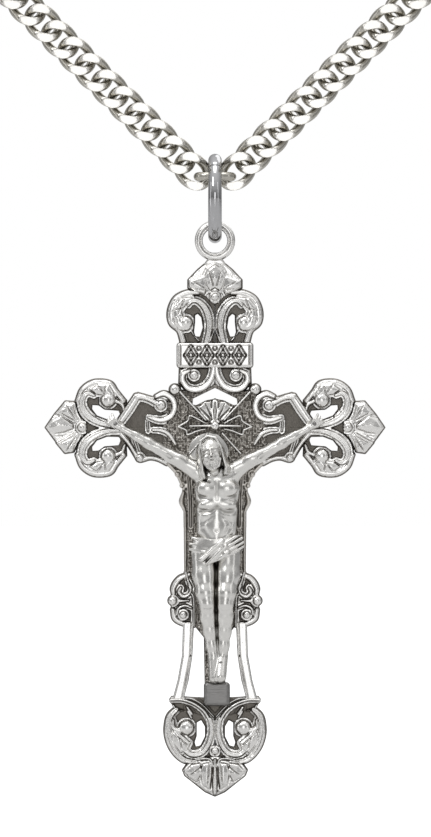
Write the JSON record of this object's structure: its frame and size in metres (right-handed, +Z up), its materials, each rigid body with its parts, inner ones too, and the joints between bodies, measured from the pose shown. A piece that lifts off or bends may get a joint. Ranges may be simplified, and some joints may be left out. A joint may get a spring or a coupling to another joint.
{
  "type": "crucifix pendant",
  "caption": "Openwork crucifix pendant with scrolled ends and a raised figure, hung by a round jump ring from a taut curb-link neck chain.",
  "frame": {"origin": "midway between the rod holes of the chain's two end tags, on the holes' axis", "axes": "+Z up along the hanging pendant, +X across to the viewer's right, the decorated front faces -Y"},
  "size_m": [0.042, 0.0084, 0.0825],
  "materials": {
    "chain_metal": "polished, warm white, with flat ground facets",
    "ring_metal": "mirror polished",
    "ornament_silver": "polished high points over dark antiqued recesses",
    "ground_silver": "granulated and antiqued dark",
    "figure_silver": "satin to polished, antiqued in the folds",
    "dark_block": "dark, brushed"
  },
  "bodies": {
    "chain": {"chain_link_left_01": "chain_metal", "chain_link_left_02": "chain_metal", "chain_link_left_03": "chain_metal", "chain_link_left_04": "chain_metal", "chain_link_left_05": "chain_metal", "chain_link_left_06": "chain_metal", "chain_link_left_07": "chain_metal", "chain_link_left_08": "chain_metal", "chain_link_left_09": "chain_metal", "chain_link_left_10": "chain_metal", "chain_link_left_11": "chain_metal", "chain_link_left_12": "chain_metal", "chain_link_right_01": "chain_metal", "chain_link_right_02": "chain_metal", "chain_link_right_03": "chain_metal", "chain_link_right_04": "chain_metal", "chain_link_right_05": "chain_metal", "chain_link_right_06": "chain_metal", "chain_link_right_07": "chain_metal", "chain_link_right_08": "chain_metal", "chain_link_right_09": "chain_metal", "chain_link_right_10": "chain_metal", "chain_link_right_11": "chain_metal", "chain_link_right_12": "chain_metal", "chain_link_vertex": "chain_metal", "end_tag_left": "chain_metal", "end_tag_right": "chain_metal"},
    "jump_ring": {"jump_ring": "ring_metal"},
    "cross": {"arm_frame_left": "ornament_silver", "arm_frame_right": "ornament_silver", "arm_leaf_left": "ornament_silver", "arm_leaf_right": "ornament_silver", "arm_scrolls_left": "ornament_silver", "arm_scrolls_right": "ornament_silver", "bail_loop": "ornament_silver", "base_moulding": "ornament_silver", "centre_panel": "ground_silver", "figure_arms": "figure_silver", "figure_head": "figure_silver", "figure_legs": "figure_silver", "figure_torso": "figure_silver", "flared_rails": "ornament_silver", "foot_block": "dark_block", "foot_leaf": "ornament_silver", "foot_scroll_left": "ornament_silver", "foot_scroll_right": "ornament_silver", "loincloth": "figure_silver", "lower_spine": "ground_silver", "mid_scroll_left": "ornament_silver", "mid_scroll_right": "ornament_silver", "nails": "ornament_silver", "neck_volute_left": "ornament_silver", "neck_volute_right": "ornament_silver", "panel_ornament": "ornament_silver", "shaft_ground": "ground_silver", "title_tablet": "ornament_silver", "top_leaf": "ornament_silver", "top_scroll_left": "ornament_silver", "top_scroll_right": "ornament_silver"}
  },
  "joints": [
    {"name": "ring_slide_round", "type": "hinge", "parent": "chain", "child": "jump_ring", "pos_m": [0, 0, -0.02471], "axis": [1, 0, 0], "range_deg": [-35, 35]},
    {"name": "cross_swing", "type": "hinge", "parent": "jump_ring", "child": "cross", "pos_m": [0, 0, -0.02826], "axis": [0, 1, 0], "range_deg": [-45, 45]}
  ]
}
